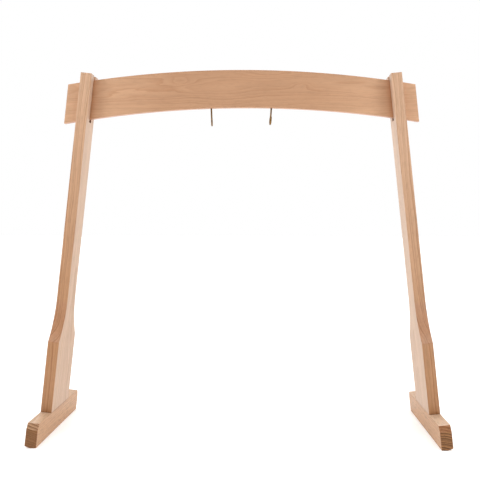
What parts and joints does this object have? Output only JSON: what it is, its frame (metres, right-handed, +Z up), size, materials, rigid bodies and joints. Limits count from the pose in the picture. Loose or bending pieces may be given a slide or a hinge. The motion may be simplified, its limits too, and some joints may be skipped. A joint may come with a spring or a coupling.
{
  "type": "gong stand",
  "caption": "Free-standing wooden gong stand: leaning side frames, an arched crossbeam that lifts out of their slots, and screw hooks for the gong's cords.",
  "frame": {"origin": "on the floor, midway between the soles of the two side frames and midway between their front and rear ends", "axes": "+X to the right along the crossbeam, +Y to the back along the feet, +Z up"},
  "size_m": [1.369, 0.432, 1.261],
  "materials": {
    "beam_wood": "flat-sawn pinkish tan hardwood with a low satin oil finish",
    "leg_wood": "straight-grained tan wood with a low satin oil finish",
    "foot_wood": "tan wood with a low satin oil finish and darker end grain",
    "dowel_wood": "plain pale beech, unfinished",
    "brass": "dark antique brass plated wire",
    "steel": "bright zinc plated"
  },
  "bodies": {
    "side_frames": {"left_leg": "leg_wood", "left_foot": "foot_wood", "left_dowel_front": "dowel_wood", "left_dowel_rear": "dowel_wood", "left_screw_front": "steel", "left_screw_rear": "steel", "right_leg": "leg_wood", "right_foot": "foot_wood", "right_dowel_front": "dowel_wood", "right_dowel_rear": "dowel_wood", "right_screw_front": "steel", "right_screw_rear": "steel"},
    "crossbeam": {"crossbeam": "beam_wood"},
    "left_hook": {"left_hook": "brass"},
    "right_hook": {"right_hook": "brass"}
  },
  "joints": [
    {"name": "crossbeam_lift", "type": "slide", "parent": "side_frames", "child": "crossbeam", "axis": [0, 0, 1], "range_m": [0, 0.18]},
    {"name": "left_hook_turn", "type": "hinge", "parent": "crossbeam", "child": "left_hook", "pos_m": [-0.106, 0, 1.12636], "axis": [-0.0436, 0, 0.999], "range_deg": [-90, 90]},
    {"name": "right_hook_turn", "type": "hinge", "parent": "crossbeam", "child": "right_hook", "pos_m": [0.106, 0, 1.1275], "axis": [0.0698, 0, 0.9976], "range_deg": [-90, 90]}
  ]
}
